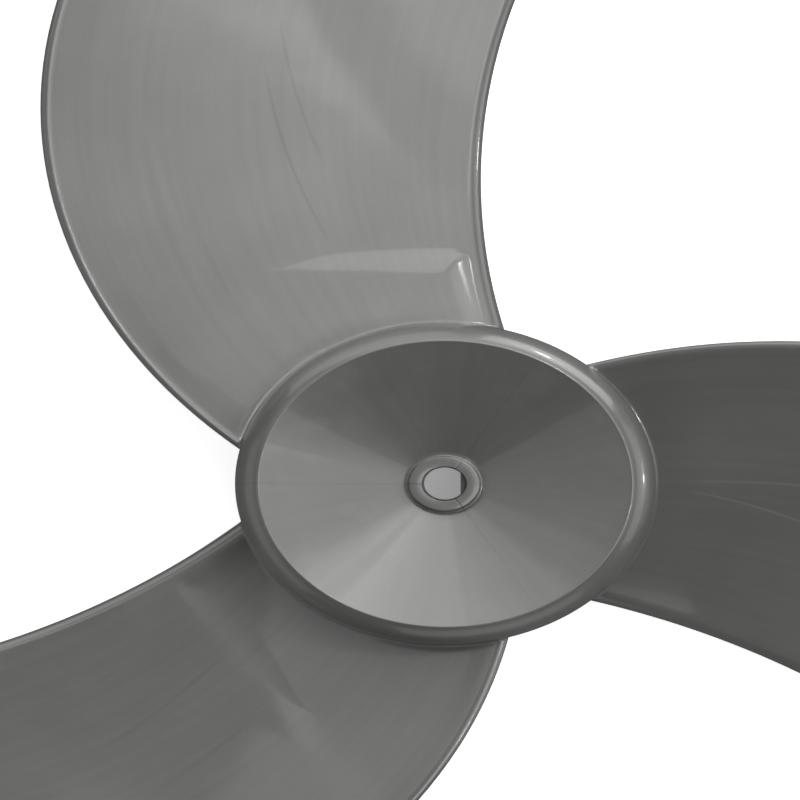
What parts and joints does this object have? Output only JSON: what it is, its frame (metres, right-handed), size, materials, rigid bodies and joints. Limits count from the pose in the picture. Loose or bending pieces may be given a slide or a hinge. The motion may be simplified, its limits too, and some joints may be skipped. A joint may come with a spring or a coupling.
{
  "type": "pedestal fan blade",
  "caption": "One-piece moulded fan blade for a pedestal fan: a dished round hub with a flatted shaft bore and wide, swept, twisted blades with beaded edges.",
  "frame": {"origin": "axis of the shaft bore, in the plane of the hub's rear edge", "axes": "+Z along the shaft towards the front of the fan; +X through the middle of one blade's root, and the bore's flat faces +X"},
  "size_m": [0.3393, 0.3114, 0.031],
  "materials": {
    "grey_plastic": "semi-gloss, metallic grey pigment"
  },
  "bodies": {
    "root": {"fan_blade": "grey_plastic"}
  },
  "joints": []
}
